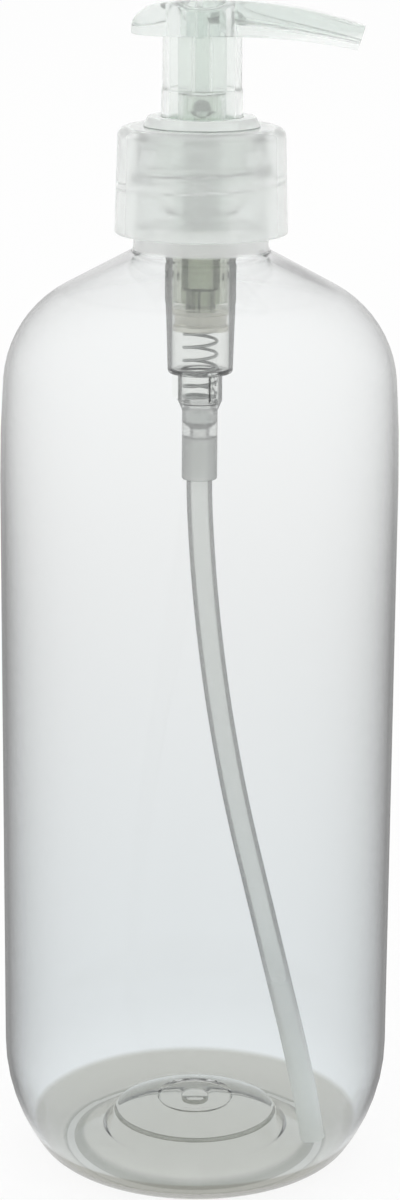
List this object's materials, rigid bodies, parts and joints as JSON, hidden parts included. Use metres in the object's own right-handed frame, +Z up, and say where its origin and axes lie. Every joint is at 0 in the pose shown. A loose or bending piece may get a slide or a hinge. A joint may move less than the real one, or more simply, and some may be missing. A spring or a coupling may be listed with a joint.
{
  "type": "pump oil bottle",
  "caption": "Clear round bottle with a natural screw-on lotion pump: pressing the spouted head works a sprung piston that draws massage oil up a curved dip tube.",
  "frame": {"origin": "centre of the standing ring, on the surface the bottle stands on", "axes": "+Z up the bottle's axis, +X along the spout"},
  "size_m": [0.068, 0.068, 0.2033],
  "materials": {
    "clear_pet": "clear blown PET, glossy inside and out",
    "natural_pp": "natural polypropylene, milky and translucent, satin gloss",
    "inner_pp": "thin natural polypropylene, translucent",
    "gasket_foam": "white foamed polyethylene",
    "piston_pe": "soft natural polyethylene",
    "spring_steel": "drawn stainless wire",
    "ball_glass": "polished glass ball",
    "ball_steel": "polished stainless ball",
    "tube_pe": "extruded natural polyethylene, milky"
  },
  "bodies": {
    "bottle": {"bottle": "clear_pet"},
    "pump": {"housing": "inner_pp", "gasket": "gasket_foam", "chaplet": "natural_pp", "dip_tube": "tube_pe"},
    "closure": {"collar": "natural_pp"},
    "spring": {"return_spring": "spring_steel"},
    "plunger": {"actuator_head": "natural_pp", "stem": "inner_pp", "stem_plug": "inner_pp"},
    "piston": {"piston": "piston_pe"},
    "inlet_valve": {"inlet_ball": "ball_glass"},
    "outlet_valve": {"outlet_ball": "ball_steel"}
  },
  "joints": [
    {"name": "pump_lift", "type": "slide", "parent": "bottle", "child": "pump", "axis": [0, 0, 1], "range_m": [0, 0.00476]},
    {"name": "closure_turn", "type": "hinge", "parent": "pump", "child": "closure", "pos_m": [0, 0, 0.1737], "axis": [0, 0, 1], "range_deg": [0, 540]},
    {"name": "pump_stroke", "type": "slide", "parent": "pump", "child": "spring", "axis": [0, 0, -1], "range_m": [0, 0.0066], "stiffness_N_per_m": 700, "springref_m": -0.006, "deforming": ["return_spring"]},
    {"name": "head_swivel", "type": "hinge", "parent": "spring", "child": "plunger", "pos_m": [0, 0, 0.19], "axis": [0, 0, 1], "continuous": true},
    {"name": "piston_play", "type": "slide", "parent": "plunger", "child": "piston", "axis": [0, 0, 1], "range_m": [0, 0.0008]},
    {"name": "inlet_ball_lift", "type": "slide", "parent": "pump", "child": "inlet_valve", "axis": [0, 0, 1], "range_m": [0, 0.001]},
    {"name": "outlet_ball_lift", "type": "slide", "parent": "plunger", "child": "outlet_valve", "axis": [0, 0, 1], "range_m": [0, 0.0012]}
  ],
  "couplings": [
    {"joint": "closure_turn", "follows": "pump_lift", "rad_per_m": 1979}
  ]
}
